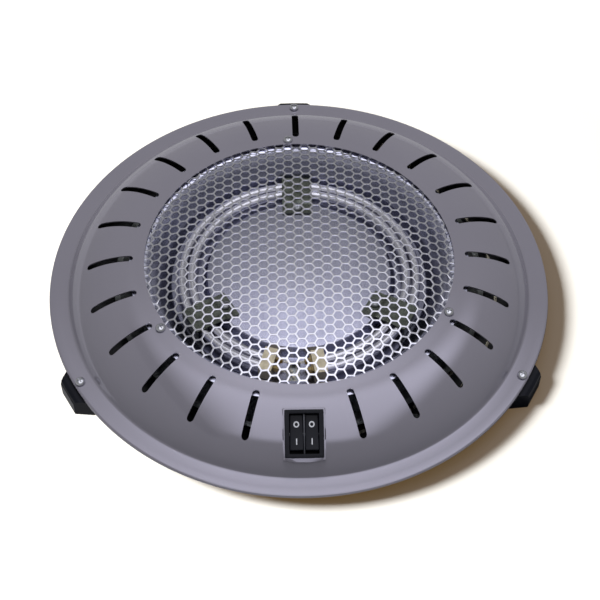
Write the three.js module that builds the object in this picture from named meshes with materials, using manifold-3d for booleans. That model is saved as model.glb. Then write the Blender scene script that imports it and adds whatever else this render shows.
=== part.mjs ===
// Flat electric floor heater: a domed, slotted steel ring round a perforated grille,
// over two ring-shaped tubular elements that lie in the trough of a reflector.
// Millimetres, +Z up, floor at z = 0, switch towards -Y.
// Bearings are counted clockwise from the back (+Y), seen from above.
import * as THREE from "three";
import { mergeGeometries, mergeVertices } from "three/addons/utils/BufferGeometryUtils.js";
import Module from "manifold-3d";

const wasm = await Module();
wasm.setup();

// ---------- driving sizes ----------
const gap = 0.3; // air between pieces that touch
const third = 120; // degrees between the three feet, clamps and screws

// top ring
const rimRadius = 180;
const flangeTop = 18;
const flangeDish = 0.9; // the flange falls this much from the rim to the fold
const foldRadius = 166.4;
const crestRadius = 117.7;
const crestRise = 26.1; // crest above the flange
const mouthRadius = 110.2; // opening for the grille
const ringSheet = 1;
const hemDepth = 2.4;
const hemRound = 0.7;
const ringSides = 60;
const domeSteps = 5;

// slots in the ring
const slotPlaces = 24;
const switchPlace = 12; // the place that holds the switch instead of a slot
const slotInner = 118;
const slotOuter = 151.5;
const slotWidth = 5;

// grille
const grilleSheet = 0.8;
const grilleCrown = 900; // radius of the flat crown
const shoulderStart = 83;
const shoulderRadius = 66;
const grilleInset = 0.8; // dome foot inside the ring's mouth
const meshRadius = 107; // edge of the perforated field
const meshMargin = 1.2; // least metal outside the outermost holes
const meshSides = 60;
const hexPitch = 14.7;
const hexWeb = 2;
const innerFlangeOuter = 121; // outer edge of the grille's and reflector's flanges

// reflector
const reflectorSheet = 0.8;
const reflectorSides = 36;
const dishCentreHeight = 27.8; // the disc inside the elements bulges towards its centre
const dishEdgeHeight = 24.9;
const dishRadius = 66;
const troughInner = 69.5;
const troughOuter = 92.5;
const troughFloor = 17;
const wallFoot = 96;
const wallFootHeight = 24;
const wallTop = 109;
const restWidth = 10;
const restLength = 14;

// heating elements
const tubeDiameter = 6.2;
const tubePitch = 7.4; // between the two tubes' centre lines
const elementRadius = 81; // midway between the two tubes
const elementHeight = 24;
const gapBearing = 184; // middle of the break in the rings
const gapHalfAngle = 12.5;
const tubeSteps = 48;

// clamps on the elements
const clampWidth = 22;
const clampSheet = 1;
const clampFootInner = 56;
const clampLipDepth = 9;
const clampScrewRadius = 61;
const clampLift = 0.7; // between the dish and the clamp's flat foot
const clampStep = 3; // run of the bend from the foot to the bridge

// ceramic end blocks, pins and link
const blockLength = 9;
const blockRadial = 19;
const blockHeight = 11.2;
const tubeEntry = 4.5; // how far a tube goes into its block
const pinRadius = 2;
const pinReach = 5;
const linkThickness = 1;

// heat shield
const shieldSheet = 0.6;
const shieldFloor = 12;
const shieldFlatRadius = 118;
const shieldRadius = 133;
const shieldRimHeight = 21.6;
const shieldNotchWidth = 64;
const shieldSides = 40;

// base pan
const panSides = 48;
const panSheet = 0.8;
const panFloor = 6;
const panFlatRadius = 158;
const panWallTop = 164;
const panFlangeRadius = rimRadius - 2.5; // just inside the rim's hem
const ventCount = 12;
const ventWidth = 5;
const ventInner = 56;
const ventOuter = 78;

// feet
const footReach = rimRadius + 6.4;
const footOuterWidth = 20;
const footWidth = 35;
const footShoulder = footReach - 10.4; // radius at which the foot is at its full width
const footInner = footReach - 34.4;
const footEdge = 3;

// screws and nuts
const screwRadius = 1.95;
const screwHeadRadius = 3.75;
const screwHeadHeight = 2.6;
const screwSides = 8;
const rimScrewCircle = rimRadius - 4.5;
const rimScrewDepth = 12;
const grilleScrewCircle = 114.5;
const grilleScrewTurn = -3; // the grille screws sit this far round from the feet
const nutFlats = 5.5;
const nutHeight = 2.2;

// spacers under the heat shield
const spacerCircle = 102;
const spacerRadius = 4.5;

// switch
const switchRadius = 144.5;
const bezelWidth = 25.7;
const bezelLength = 31.6;
const bezelHeight = 2;
const bodyWidth = 21.8;
const bodyLength = 28;
const bodyDepth = 17;
const wellWidth = 19.4;
const wellLength = 26.4;
const wellDepth = 9.6;
const dividerWidth = 0.8;
const padWidth = 30;
const padLength = 36;
const padSlope = 2.8;
const padSink = 1.2; // the pad lies this much below the dome's tangent plane
const cutoutGap = 0.5;
const rockerLength = 24;
const rockerTop = 1.7; // height of the rocker's ends, level
const rockerDip = 0.9; // its middle lies this much below them
const rockerFoot = 14; // length of its lower edge
const rockerDepth = 8;
const pivotDepth = 4;
const pivotRadius = 1;
const rockerTilt = 11; // each way from level
const bladeWidth = 4.8;
const bladeThickness = 0.8;
const bladeLength = 5;
const bladeRow = -9;
const commonRow = 0;
const commonBarLength = 18;

// electrical pieces under the ring
const partsCircle = 143;
const supplyBearing = 32;
const supplyBlockWidth = 26;
const supplyBlockDepth = 15;
const supplyBlockHeight = 12;
const supplyWays = 3;
const wayHeight = 4.2;
const cutoutBearing = 148;
const cutoutRadius = 8;
const cutoutHeight = 6.5;
const tabHeight = 3;
const tabReach = 12;
const bushBearing = 18;
const bushRadius = 3.5;
const bushBore = 2.6;
const bushHeight = 11;
const bushInner = 149;
const bushOuter = 172;
const wayRadius = 1.5;
const leadRadius = 1.2;
const neutralCircle = 131;
const riserOffset = 2.4; // of the leads from the middle of the reflector's passage
const leadEntry = 2.5; // how far a lead goes into the supply block
const leadPassageWidth = 9; // hole in the reflector between the end blocks
const leadPassageLength = 16;

// ---------- materials ----------
function finish(color, roughness, metalness) {
  return new THREE.MeshStandardMaterial({ color, roughness, metalness });
}
const ringPaint = finish(0x85838e, 0.3, 0.5);
const grilleSteel = finish(0xd6d7de, 0.25, 0.9);
const brightAluminium = finish(0xb9bac6, 0.3, 0.9);
const galvanised = finish(0x8f949a, 0.5, 0.8);
const blackSteel = finish(0x2b2c2e, 0.5, 0.5);
const elementSteel = finish(0xc9c8d2, 0.22, 0.95);
const steatite = finish(0xd9cdb0, 0.6, 0);
const brass = finish(0xb8963e, 0.35, 0.9);
const blackPlastic = finish(0x17181b, 0.35, 0);
const chrome = finish(0xd9dadd, 0.15, 1);
const zincSteel = finish(0xa9abad, 0.4, 0.8);
const bushRubber = finish(0x1d1d1e, 0.7, 0);
const leadSleeve = finish(0xd8d4c8, 0.7, 0);

// ---------- geometry helpers ----------
const radians = THREE.MathUtils.degToRad;

// A closed geometry as a solid with its faces turned outwards.
function solidOf(geometry) {
  const bare = geometry.clone();
  bare.deleteAttribute("normal");
  bare.deleteAttribute("uv");
  const merged = mergeVertices(bare, 1e-3);
  const triVerts = new Uint32Array(merged.index.array);
  const vertProperties = merged.attributes.position.array;
  const made = new wasm.Manifold(new wasm.Mesh({ numProp: 3, vertProperties, triVerts }));
  if (made.volume() > 0) return made;
  const turned = triVerts.map((v, i) => triVerts[i - (i % 3) + 2 - (i % 3)]);
  return new wasm.Manifold(new wasm.Mesh({ numProp: 3, vertProperties, triVerts: turned }));
}

function cut(solid, ...cutters) {
  return cutters.reduce((left, cutter) => left.subtract(solidOf(cutter)), solid);
}

function meshOf(name, solid, material) {
  const made = solid.getMesh();
  const geometry = new THREE.BufferGeometry();
  geometry.setAttribute("position", new THREE.BufferAttribute(made.vertProperties, 3));
  geometry.setIndex(new THREE.BufferAttribute(made.triVerts, 1));
  geometry.computeVertexNormals();
  const mesh = new THREE.Mesh(geometry, material);
  mesh.name = name;
  return mesh;
}

// A closed outline of [radius, height] points turned about Z.
function revolved(outline, sides) {
  const points = outline.map(([r, z]) => new THREE.Vector2(r, z));
  if (outline[0][0] > 0) points.push(points[0].clone());
  return new THREE.LatheGeometry(points, sides).rotateX(Math.PI / 2);
}

// A sheet whose upper side follows the points, pressed to one thickness below them.
function pressedSheet(upper, thickness, sides) {
  const lower = upper.map(([r, z]) => [r, z - thickness]).reverse();
  return solidOf(revolved([...upper, ...lower], sides));
}

function extruded(shape, depth, curveSegments = 3) {
  return new THREE.ExtrudeGeometry(shape, { depth, bevelEnabled: false, curveSegments });
}

function rectangle(width, length) {
  const shape = new THREE.Shape();
  shape.moveTo(-width / 2, -length / 2);
  shape.lineTo(width / 2, -length / 2);
  shape.lineTo(width / 2, length / 2);
  shape.lineTo(-width / 2, length / 2);
  shape.closePath();
  return shape;
}

// A round-ended slot along +Y from one radius to another.
function slotShape(inner, outer, width) {
  const r = width / 2;
  const shape = new THREE.Shape();
  shape.absarc(0, outer - r, r, 0, Math.PI, false);
  shape.absarc(0, inner + r, r, Math.PI, 2 * Math.PI, false);
  shape.closePath();
  return shape;
}

function post(radius, low, high, sides = screwSides) {
  const made = new THREE.CylinderGeometry(radius, radius, high - low, sides);
  return made.rotateX(Math.PI / 2).translate(0, 0, (low + high) / 2);
}

// Turns a geometry made on the +Y line to its bearing.
function atBearing(geometry, bearing) {
  return geometry.rotateZ(-radians(bearing));
}

function pointAt(radius, bearing, height) {
  const a = radians(bearing);
  return new THREE.Vector3(radius * Math.sin(a), radius * Math.cos(a), height);
}

function placedAt(mesh, radius, bearing, height) {
  mesh.position.copy(pointAt(radius, bearing, height));
  mesh.rotation.z = -radians(bearing);
  return mesh;
}

function tubeAlong(curve, radius, steps, quarterSides) {
  const section = new THREE.Shape();
  section.absarc(0, 0, radius, 0, 2 * Math.PI, false);
  const options = { steps, bevelEnabled: false, curveSegments: quarterSides, extrudePath: curve };
  return solidOf(new THREE.ExtrudeGeometry(section, options));
}

const sideNames = ["rear", "right", "left"];
const sideBearings = sideNames.map((name, i) => i * third);

// ---------- derived sizes ----------
const foldHeight = flangeTop - flangeDish;
const crestHeight = flangeTop + crestRise;
const crestDrop = crestHeight - foldHeight;
const foldRun = foldRadius - crestRadius;
const domeRadius = (foldRun ** 2 + crestDrop ** 2) / (2 * crestDrop);
const domeCentre = crestHeight - domeRadius;

function domeHeight(r, inset = 0) {
  return domeCentre + Math.sqrt((domeRadius - inset) ** 2 - (r - crestRadius) ** 2);
}

const grilleFlangeTop = domeHeight(mouthRadius, ringSheet) - gap;
const grilleFoot = mouthRadius - grilleInset;
const crownSlope = Math.asin(shoulderStart / grilleCrown);
const shoulderCentre = shoulderStart - shoulderRadius * Math.sin(crownSlope);

// Height of the grille's upper side over its own flange.
function grilleRise(r) {
  const shoulderFall = (at) => Math.sqrt(shoulderRadius ** 2 - (at - shoulderCentre) ** 2);
  if (r >= shoulderStart) return shoulderFall(r) - shoulderFall(grilleFoot);
  const crownFall = Math.sqrt(grilleCrown ** 2 - r ** 2) - grilleCrown * Math.cos(crownSlope);
  return crownFall + shoulderFall(shoulderStart) - shoulderFall(grilleFoot);
}

const reflectorFlangeTop = grilleFlangeTop - grilleSheet - gap;
const grilleNutTop = reflectorFlangeTop - reflectorSheet - gap;
const panFlangeTop = foldHeight - ringSheet - gap;
const leadLow = panFloor + panSheet + leadRadius + 1;
const overShield = shieldFloor + shieldSheet + leadRadius + 0.6;
const rockerMiddle = (wellWidth + dividerWidth) / 4;
const blockSeat = troughFloor + gap;
const wayPitch = supplyBlockWidth / supplyWays;
const panSeat = panFloor + panSheet + gap;
const footTop = panFlangeTop - panSheet - gap;
const padSlopeAngle = Math.asin((switchRadius - crestRadius) / domeRadius);
const bladeEnd = -bodyDepth - gap - bladeLength;
const padOrigin = new THREE.Vector3(
  0,
  -switchRadius + padSink * Math.sin(padSlopeAngle),
  domeHeight(switchRadius) - padSink * Math.cos(padSlopeAngle),
);

// ---------- top ring ----------
function domeLine(inset) {
  const radius = domeRadius - inset;
  const from = Math.asin((mouthRadius - crestRadius) / radius);
  const to = Math.asin((foldRadius - crestRadius) / domeRadius);
  const line = [];
  for (let i = 0; i <= domeSteps; i++) {
    const a = from + ((to - from) * i) / domeSteps;
    line.push([crestRadius + radius * Math.sin(a), domeCentre + radius * Math.cos(a)]);
  }
  return line;
}

function ringShell() {
  const upper = domeLine(0);
  const lower = domeLine(ringSheet).reverse();
  const inside = rimRadius - ringSheet;
  const rim = [
    [rimRadius - hemRound, flangeTop],
    [rimRadius, flangeTop - hemRound],
    [rimRadius, flangeTop - hemDepth],
    [inside, flangeTop - hemDepth],
    [inside, flangeTop - ringSheet],
  ];
  return solidOf(revolved([...upper, ...rim, ...lower], ringSides));
}

// From the frame of the switch: origin on the flat pad, +Z along its normal, +Y uphill.
function onPad(geometry) {
  return geometry.rotateX(padSlopeAngle).translate(0, padOrigin.y, padOrigin.z);
}

// A block with sloping sides; its top lies at the given height.
function padBlock(inset, top) {
  const outline = rectangle(padWidth - 2 * inset, padLength - 2 * inset);
  const block = new THREE.ExtrudeGeometry(outline, {
    depth: padSlope,
    bevelThickness: padSlope,
    bevelSize: padSlope,
    bevelSegments: 1,
    steps: 1,
  });
  const upperHalf = block.translate(0, 0, top - 2 * padSlope);
  return onPad(upperHalf);
}

function makeTopRing() {
  const above = extruded(rectangle(padWidth, padLength), crestHeight);
  let ring = ringShell().add(solidOf(padBlock(0, 0)));
  ring = cut(ring, onPad(above), padBlock(ringSheet / 2, -ringSheet));
  const opening = rectangle(bodyWidth + 2 * cutoutGap, bodyLength + 2 * cutoutGap);
  ring = cut(ring, onPad(extruded(opening, 24).translate(0, 0, -12)));
  const tall = 2 * crestHeight;
  for (let place = 0; place < slotPlaces; place++) {
    if (place === switchPlace) continue;
    const slot = extruded(slotShape(slotInner, slotOuter, slotWidth), tall);
    ring = cut(ring, atBearing(slot, (360 * place) / slotPlaces));
  }
  for (const bearing of sideBearings) {
    ring = cut(ring, hole(rimScrewCircle, bearing), hole(grilleScrewCircle, bearing + grilleScrewTurn));
  }
  return ring;
}

// A clearance hole for a screw, right through at a radius and bearing.
function hole(radius, bearing) {
  const bore = post(screwRadius + gap, 0, 2 * crestHeight);
  return atBearing(bore.translate(0, radius, 0), bearing);
}

// ---------- grille ----------
function hexHole(x, y) {
  const corner = (hexPitch - hexWeb) / Math.sqrt(3);
  const path = new THREE.Path();
  for (let i = 0; i < 6; i++) {
    const a = radians(60 * i);
    const point = [x + corner * Math.cos(a), y + corner * Math.sin(a)];
    if (i === 0) path.moveTo(...point);
    else path.lineTo(...point);
  }
  path.closePath();
  return path;
}

function perforatedDisc() {
  const disc = new THREE.Shape();
  for (let i = 0; i < meshSides; i++) {
    const a = radians((360 * i) / meshSides);
    const point = [meshRadius * Math.sin(a), -meshRadius * Math.cos(a)];
    if (i === 0) disc.moveTo(...point);
    else disc.lineTo(...point);
  }
  disc.closePath();
  const columnStep = (hexPitch * Math.sqrt(3)) / 2;
  const reach = meshRadius - meshMargin - (hexPitch - hexWeb) / Math.sqrt(3);
  const columns = Math.ceil(meshRadius / columnStep);
  for (let column = -columns; column <= columns; column++) {
    const x = column * columnStep;
    const shift = column % 2 === 0 ? 0 : hexPitch / 2;
    for (let row = -columns; row <= columns; row++) {
      const y = row * hexPitch + shift;
      if (Math.hypot(x, y) <= reach) disc.holes.push(hexHole(x, y));
    }
  }
  return extruded(disc, grilleSheet).translate(0, 0, -grilleSheet);
}

// The flat field without its outer wall, raised to the dome, ready to meet the skirt.
function domedField() {
  const flat = perforatedDisc();
  const place = flat.attributes.position;
  const kept = [];
  for (let i = 0; i < place.count; i += 3) {
    const corners = [i, i + 1, i + 2];
    const onRim = corners.every((k) => Math.hypot(place.getX(k), place.getY(k)) > meshRadius - 0.01);
    const upright = new Set(corners.map((k) => Math.sign(place.getZ(k) + grilleSheet / 2))).size > 1;
    if (!(onRim && upright)) kept.push(...corners);
  }
  const position = new THREE.Float32BufferAttribute(kept.length * 3, 3);
  kept.forEach((k, i) => {
    const [x, y] = [place.getX(k), place.getY(k)];
    position.setXYZ(i, x, y, place.getZ(k) + grilleFlangeTop + grilleRise(Math.hypot(x, y)));
  });
  return new THREE.BufferGeometry().setAttribute("position", position);
}

function grilleSkirt() {
  const upper = [
    [meshRadius, grilleFlangeTop + grilleRise(meshRadius)],
    [grilleFoot, grilleFlangeTop],
    [innerFlangeOuter, grilleFlangeTop],
  ];
  const lower = upper.map(([r, z]) => [r, z - grilleSheet]).reverse();
  const outline = [...upper, ...lower].map(([r, z]) => new THREE.Vector2(r, z)).reverse();
  const skirt = new THREE.LatheGeometry(outline, meshSides).rotateX(Math.PI / 2).toNonIndexed();
  skirt.deleteAttribute("normal");
  skirt.deleteAttribute("uv");
  return skirt;
}

function makeGrille() {
  const grille = solidOf(mergeGeometries([domedField(), grilleSkirt()]));
  return cut(grille, ...sideBearings.map((b) => hole(grilleScrewCircle, b + grilleScrewTurn)));
}

// ---------- reflector ----------
function dishHeight(r) {
  return dishCentreHeight + (dishEdgeHeight - dishCentreHeight) * (r / dishRadius) ** 2;
}

// The wall follows a parabola whose axis is the heater's.
function wallHeight(r) {
  const share = (r ** 2 - wallFoot ** 2) / (wallTop ** 2 - wallFoot ** 2);
  return wallFootHeight + (reflectorFlangeTop - wallFootHeight) * share;
}

function makeReflector() {
  const dish = [0, 0.35, 0.7, 1].map((share) => [share * dishRadius, dishHeight(share * dishRadius)]);
  const wall = [0, 0.5, 1].map((share) => {
    const r = wallFoot + share * (wallTop - wallFoot);
    return [r, wallHeight(r)];
  });
  const upper = [
    ...dish,
    [troughInner, troughFloor],
    [troughOuter, troughFloor],
    ...wall,
    [innerFlangeOuter, reflectorFlangeTop],
  ];
  let bowl = pressedSheet(upper, reflectorSheet, reflectorSides);
  for (const bearing of sideBearings) {
    bowl = bowl.add(solidOf(restBlock(0, bearing)));
    bowl = cut(bowl, restBlock(reflectorSheet, bearing));
    bowl = cut(bowl, hole(grilleScrewCircle, bearing + grilleScrewTurn), hole(clampScrewRadius, bearing));
  }
  const passage = extruded(rectangle(leadPassageWidth, leadPassageLength), crestHeight);
  return cut(bowl, atBearing(passage.translate(0, elementRadius, 0), gapBearing));
}

// A pressed rest that lifts the tubes off the trough's floor under a clamp.
function restBlock(inset, bearing) {
  const low = troughFloor - reflectorSheet / 2 - 2 * inset;
  const high = elementHeight - tubeDiameter / 2 - gap - inset;
  const block = extruded(rectangle(restWidth - 2 * inset, restLength - 2 * inset), high - low);
  return atBearing(block.translate(0, elementRadius, low), bearing);
}

// ---------- heating elements ----------
class RingArc extends THREE.Curve {
  constructor(radius, from, to, height) {
    super();
    Object.assign(this, { radius, from, to, height });
  }
  getPoint(t, target = new THREE.Vector3()) {
    return target.copy(pointAt(this.radius, this.from + (this.to - this.from) * t, this.height));
  }
}

function makeElement(radius) {
  const blockHalf = THREE.MathUtils.radToDeg((blockLength / 2 - tubeEntry) / elementRadius);
  const from = gapBearing + gapHalfAngle - blockHalf;
  const to = gapBearing - gapHalfAngle + 360 + blockHalf;
  return tubeAlong(new RingArc(radius, from, to, elementHeight), tubeDiameter / 2, tubeSteps, 4);
}

const tubeRadii = { outer: elementRadius + tubePitch / 2, inner: elementRadius - tubePitch / 2 };

// ---------- clamps ----------
function makeClamp() {
  const bridge = elementHeight + tubeDiameter / 2 + gap;
  const footHeight = dishHeight(clampScrewRadius) + clampLift;
  const footEnd = dishRadius - 1;
  const lipRadius = tubeRadii.outer + tubeDiameter / 2 + 1;
  const strap = new THREE.Shape();
  strap.moveTo(clampFootInner, footHeight);
  strap.lineTo(footEnd, footHeight);
  strap.lineTo(footEnd + clampStep, bridge);
  strap.lineTo(lipRadius, bridge);
  strap.lineTo(lipRadius, bridge - clampLipDepth);
  strap.lineTo(lipRadius + clampSheet, bridge - clampLipDepth);
  strap.lineTo(lipRadius + clampSheet, bridge + clampSheet);
  strap.lineTo(footEnd + clampStep - clampSheet / 2, bridge + clampSheet);
  strap.lineTo(footEnd - clampSheet / 2, footHeight + clampSheet);
  strap.lineTo(clampFootInner, footHeight + clampSheet);
  strap.closePath();
  const bent = extruded(strap, clampWidth).rotateX(Math.PI / 2).rotateZ(Math.PI / 2);
  const clamp = solidOf(bent.translate(-clampWidth / 2, 0, 0));
  return cut(clamp, post(screwRadius + gap, 0, crestHeight).translate(0, clampScrewRadius, 0));
}

// ---------- ceramic end blocks, pins, link ----------
function makeEndBlock() {
  const block = extruded(rectangle(blockLength, blockRadial), blockHeight);
  let ceramic = solidOf(block);
  for (const shift of [-tubePitch / 2, tubePitch / 2]) {
    const radius = tubeDiameter / 2 + gap;
    const bore = new THREE.CylinderGeometry(radius, radius, 2 * blockLength, 12);
    bore.rotateZ(Math.PI / 2).translate(0, shift, elementHeight - blockSeat);
    ceramic = cut(ceramic, bore);
  }
  return ceramic;
}

// A stud with a collar that fills the block's bore, and a nut near its end. It lies along +X.
function makePin() {
  const collar = blockLength - tubeEntry - gap;
  const nutStart = collar + linkThickness + 2 * gap;
  const outline = [
    [0, 0],
    [tubeDiameter / 2, 0],
    [tubeDiameter / 2, collar],
    [pinRadius, collar],
    [pinRadius, nutStart],
    [nutFlats / 2, nutStart],
    [nutFlats / 2, nutStart + nutHeight],
    [pinRadius, nutStart + nutHeight],
    [pinRadius, collar + pinReach],
    [0, collar + pinReach],
  ];
  return solidOf(revolved(outline, 6).rotateY(Math.PI / 2));
}

// A strip with a hole for each of two pins, standing across them.
function makeLink() {
  const strip = rectangle(tubePitch + 3 * pinRadius, 3 * pinRadius);
  for (const x of [-tubePitch / 2, tubePitch / 2]) {
    strip.holes.push(new THREE.Path().absarc(x, 0, pinRadius + gap, 0, 2 * Math.PI, true));
  }
  return solidOf(extruded(strip, linkThickness).rotateX(Math.PI / 2).rotateZ(Math.PI / 2));
}

// ---------- sheet steel under the elements ----------
function makeHeatShield() {
  const upper = [
    [0, shieldFloor + shieldSheet],
    [shieldFlatRadius, shieldFloor + shieldSheet],
    [shieldRadius - 2, shieldRimHeight],
    [shieldRadius, shieldRimHeight],
  ];
  const shield = pressedSheet(upper, shieldSheet, shieldSides);
  const notch = extruded(rectangle(shieldNotchWidth, shieldRadius), crestHeight);
  notch.translate(0, -shieldFlatRadius - shieldRadius / 2 + 2, shieldFloor + shieldSheet + gap);
  return cut(shield, notch, ...sideBearings.map((b) => hole(spacerCircle, b + third / 2)));
}

function makeBasePan() {
  const upper = [
    [0, panFloor + panSheet],
    [panFlatRadius, panFloor + panSheet],
    [panWallTop, panFlangeTop],
    [panFlangeRadius, panFlangeTop],
  ];
  let pan = pressedSheet(upper, panSheet, panSides);
  for (const bearing of sideBearings) {
    pan = cut(pan, hole(rimScrewCircle, bearing), hole(spacerCircle, bearing + third / 2));
  }
  for (let i = 0; i < ventCount; i++) {
    const vent = extruded(slotShape(ventInner, ventOuter, ventWidth), crestHeight, 2);
    pan = cut(pan, atBearing(vent, (360 * i) / ventCount));
  }
  return cut(pan, bushShape(bushRadius + gap, 0));
}

// ---------- feet ----------
function makeFoot() {
  const plan = new THREE.Shape();
  plan.moveTo(-footWidth / 2, footInner);
  plan.lineTo(footWidth / 2, footInner);
  plan.lineTo(footWidth / 2, footShoulder);
  plan.lineTo(footOuterWidth / 2, footReach);
  plan.lineTo(-footOuterWidth / 2, footReach);
  plan.lineTo(-footWidth / 2, footShoulder);
  plan.closePath();
  const foot = solidOf(extruded(plan, footTop));
  const panUnderside = [
    [0, panFloor - gap],
    [panFlatRadius, panFloor - gap],
    [panWallTop + gap, footTop],
    [panWallTop + gap, crestHeight],
    [0, crestHeight],
  ];
  const roundedEdge = [
    [footReach - footEdge, footTop + gap],
    [footReach - footEdge, footTop],
    [footReach - footEdge * 0.3, footTop - footEdge * 0.3],
    [footReach, footTop - footEdge],
    [footReach + footEdge, footTop - footEdge],
    [footReach + footEdge, footTop + gap],
  ];
  const screwHole = post(screwRadius + gap, flangeTop - rimScrewDepth - 2 * gap, crestHeight);
  screwHole.translate(0, rimScrewCircle, 0);
  return cut(foot, revolved(panUnderside, panSides), revolved(roundedEdge, 2 * ringSides), screwHole);
}

// ---------- screws, nuts, spacers ----------
// A pan-head screw along Z: the underside of its head is at z = 0 and its shank points down.
function makeScrew(depth) {
  const outline = [
    [0, -depth],
    [screwRadius, -depth],
    [screwRadius, 0],
    [screwHeadRadius, 0],
    [screwHeadRadius, screwHeadHeight * 0.4],
    [screwHeadRadius * 0.6, screwHeadHeight],
    [0, screwHeadHeight],
  ];
  return solidOf(revolved(outline, screwSides));
}

function makeNut() {
  const corner = nutFlats / Math.sqrt(3);
  const nut = solidOf(post(corner, 0, nutHeight, 6));
  return cut(nut, post(screwRadius + gap, -1, nutHeight + 1, 8));
}

function makeSpacer() {
  const low = panFloor + panSheet + gap;
  const spacer = solidOf(post(spacerRadius, low, shieldFloor - gap));
  return cut(spacer, post(screwRadius + gap, 0, crestHeight));
}

// ---------- switch ----------
function makeHousing() {
  const bezel = new THREE.ExtrudeGeometry(rectangle(bezelWidth - 1, bezelLength - 1), {
    depth: bezelHeight - 1,
    bevelThickness: 0.5,
    bevelSize: 0.5,
    bevelSegments: 1,
    steps: 1,
  });
  const body = extruded(rectangle(bodyWidth, bodyLength), bodyDepth + 1).translate(0, 0, -bodyDepth);
  let housing = solidOf(bezel.translate(0, 0, gap + 0.5)).add(solidOf(body));
  const well = extruded(rectangle(wellWidth, wellLength), 2 * wellDepth).translate(0, 0, -wellDepth);
  housing = cut(housing, well);
  const divider = extruded(rectangle(dividerWidth, wellLength + 1), wellDepth + 0.6);
  housing = housing.add(solidOf(divider.translate(0, 0, -wellDepth - 0.1)));
  return cut(housing, pivotBore(bodyWidth - 2 * gap));
}

function pivotBore(length, radius = pivotRadius + gap) {
  const bore = new THREE.CylinderGeometry(radius, radius, length, screwSides);
  return bore.rotateZ(Math.PI / 2).translate(0, 0, -pivotDepth);
}

// The rocker about its pivot, level: two faces that meet in a shallow valley.
function makeRocker() {
  const side = new THREE.Shape();
  const end = rockerLength / 2;
  side.moveTo(-rockerFoot / 2, pivotDepth - rockerDepth);
  side.lineTo(rockerFoot / 2, pivotDepth - rockerDepth);
  side.lineTo(end, 0);
  side.lineTo(end, rockerTop + pivotDepth);
  side.lineTo(0, rockerTop + pivotDepth - rockerDip);
  side.lineTo(-end, rockerTop + pivotDepth);
  side.lineTo(-end, 0);
  side.closePath();
  const width = (wellWidth - dividerWidth) / 2 - 2 * gap;
  const block = extruded(side, width).translate(0, 0, -width / 2).rotateY(Math.PI / 2).rotateX(Math.PI / 2);
  return cut(solidOf(block), pivotBore(2 * width).translate(0, 0, pivotDepth));
}

function switchGroup() {
  const group = new THREE.Group();
  group.position.copy(padOrigin);
  group.rotation.x = padSlopeAngle;
  group.add(meshOf("switch_housing", makeHousing(), blackPlastic));
  const pin = solidOf(pivotBore(bodyWidth - 4 * gap, pivotRadius));
  group.add(meshOf("rocker_pin", pin, zincSteel));
  for (const [name, side] of [["left", -1], ["right", 1]]) {
    const rocker = meshOf("rocker_" + name, makeRocker(), blackPlastic);
    rocker.position.set(side * rockerMiddle, 0, -pivotDepth);
    rocker.rotation.x = -radians(rockerTilt);
    group.add(rocker);
    const tab = solidOf(extruded(rectangle(bladeWidth, bladeThickness), bladeLength));
    const blade = meshOf("switch_blade_" + name, tab, brass);
    blade.position.set(side * rockerMiddle, bladeRow, bladeEnd);
    group.add(blade);
  }
  const bar = solidOf(extruded(rectangle(commonBarLength, bladeThickness), bladeLength / 2));
  const common = meshOf("switch_common_bar", bar, brass);
  common.position.set(0, commonRow, -bodyDepth - gap - bladeLength / 2);
  group.add(common);
  return group;
}

// ---------- electrical pieces under the ring ----------
function makeSupplyBlock() {
  const block = solidOf(extruded(rectangle(supplyBlockWidth, supplyBlockDepth), supplyBlockHeight));
  const cutters = [];
  for (let i = 0; i < supplyWays; i++) {
    const x = (i - (supplyWays - 1) / 2) * wayPitch;
    const entry = new THREE.CylinderGeometry(wayRadius, wayRadius, 2 * supplyBlockDepth, 8);
    cutters.push(entry.translate(x, 0, wayHeight));
    cutters.push(post(2.2, wayHeight, 2 * supplyBlockHeight, 8).translate(x, 0, 0));
  }
  return cut(block, ...cutters);
}

function makeCutout() {
  const can = [
    [0, 0],
    [cutoutRadius, 0],
    [cutoutRadius, tabHeight + 1],
    [cutoutRadius - 1.5, tabHeight + 1],
    [cutoutRadius - 1.5, cutoutHeight],
    [0, cutoutHeight],
  ];
  const tabs = extruded(rectangle(2 * tabReach, bladeWidth), bladeThickness);
  return solidOf(revolved(can, 16)).add(solidOf(tabs.translate(0, 0, tabHeight - bladeThickness / 2)));
}

// The bush, or the hole for it, lying along its bearing.
function bushShape(radius, bore) {
  const length = bushOuter - bushInner;
  const outline = [
    [bore, 0],
    [radius, 0],
    [radius, length],
    [bore, length],
  ];
  const tube = revolved(outline, screwSides).rotateX(-Math.PI / 2);
  return atBearing(tube.translate(0, bushInner, bushHeight), bushBearing);
}

// A point given in the switch's own frame.
function padPoint(x, y, z) {
  const point = new THREE.Vector3(x, y, z);
  return point.applyAxisAngle(new THREE.Vector3(1, 0, 0), padSlopeAngle).add(padOrigin);
}

// A point at a radius, bearing and height, moved clockwise by some millimetres.
function besideBearing(radius, bearing, height, clockwise) {
  const a = radians(bearing);
  const shift = new THREE.Vector3(clockwise * Math.cos(a), -clockwise * Math.sin(a), 0);
  return pointAt(radius, bearing, height).add(shift);
}

// A point on a terminal pin's axis, so far beyond the pin's end.
function pinPoint(turn, ringRadius, beyond) {
  const reach = blockLength / 2 + pinReach + beyond;
  return besideBearing(ringRadius, gapBearing + turn * gapHalfAngle, elementHeight, -turn * reach);
}

function arcPoints(radius, from, to, height, count) {
  return Array.from({ length: count }, (_, i) => {
    return pointAt(radius, from + ((to - from) * i) / (count - 1), height);
  });
}

// Evenly spaced between its points, so that the closer points of a bend get more sections.
class LeadPath extends THREE.CatmullRomCurve3 {
  getUtoTmapping(u) {
    return u;
  }
}

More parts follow.
